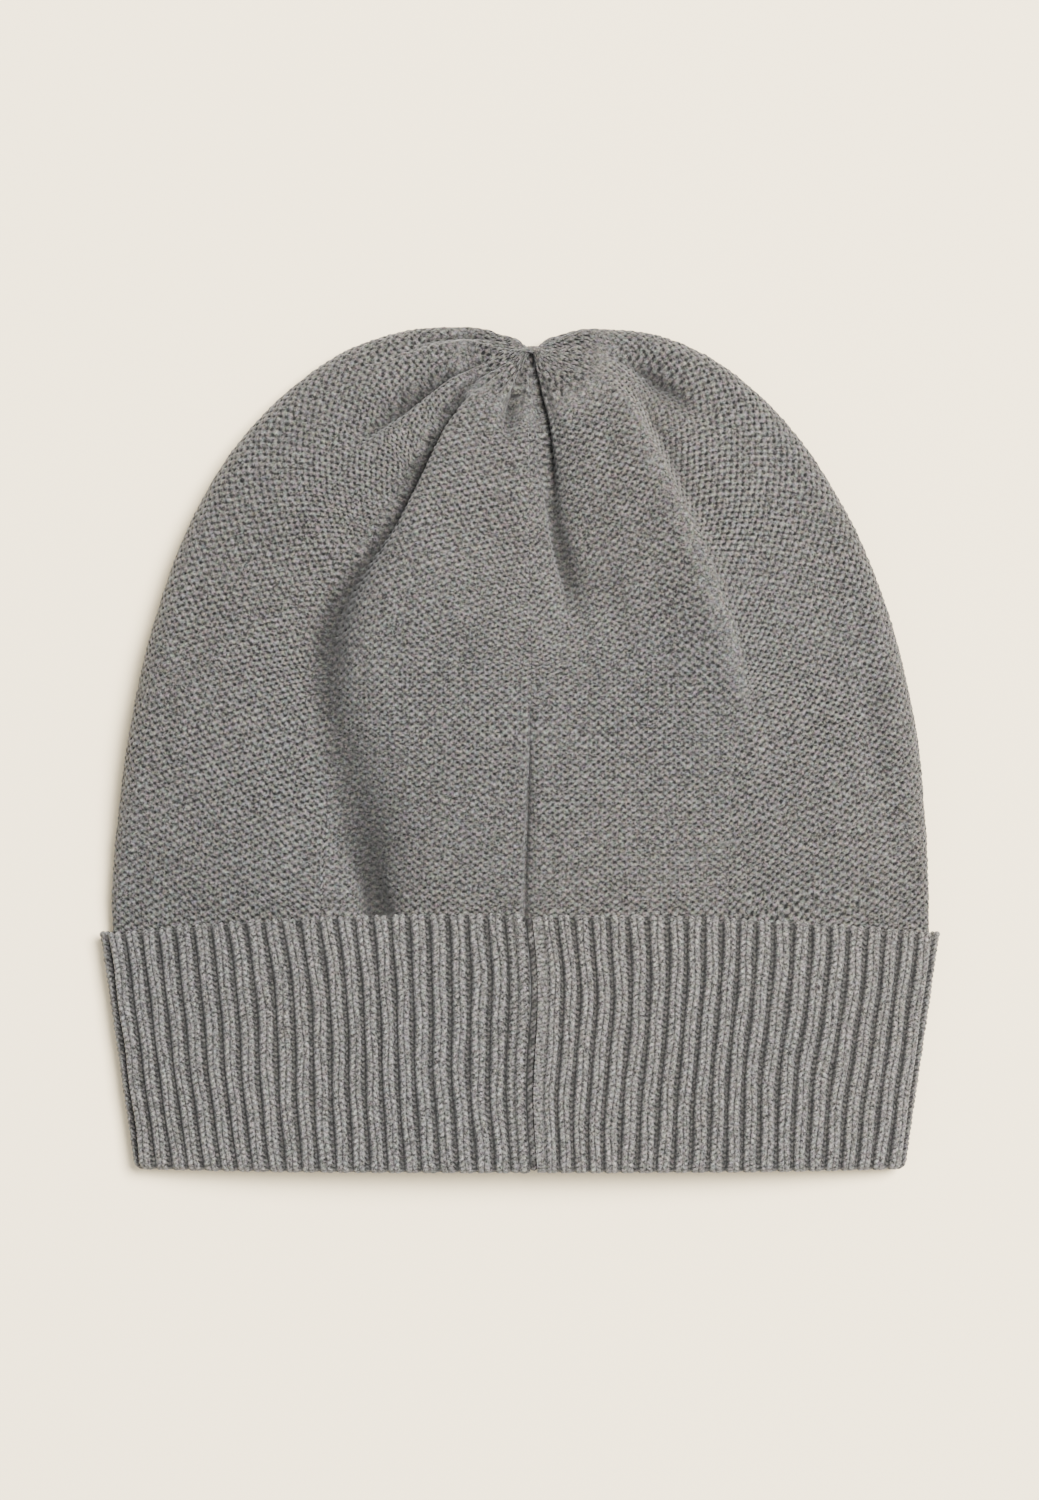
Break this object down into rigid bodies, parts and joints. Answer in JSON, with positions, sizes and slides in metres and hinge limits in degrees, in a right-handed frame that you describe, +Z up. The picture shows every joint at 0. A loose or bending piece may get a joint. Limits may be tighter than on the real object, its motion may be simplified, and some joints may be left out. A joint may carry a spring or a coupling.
{
  "type": "knit cap",
  "caption": "Plain-knit cap with a turned-up 1x1 rib cuff, one back seam and a gathered top, lying flat.",
  "frame": {"origin": "on the surface that the cap lies on, under the middle of its flat outline", "axes": "+Z up from that surface, +Y towards the gathered top of the crown, +X across the cap, to the right seen from the back seam's side with the top away"},
  "size_m": [0.2199, 0.2212, 0.0265],
  "materials": {
    "crown_knit": "plain knit, purl side out, warm mid-grey marl yarn",
    "rib_knit": "1x1 rib knit, warm mid-grey marl yarn",
    "linking_yarn": "linked loops of the same grey marl yarn"
  },
  "bodies": {
    "root": {"crown": "crown_knit", "crown_seam": "linking_yarn", "top_gather": "linking_yarn", "rib_band": "rib_knit", "cuff_seam": "linking_yarn"}
  },
  "joints": []
}
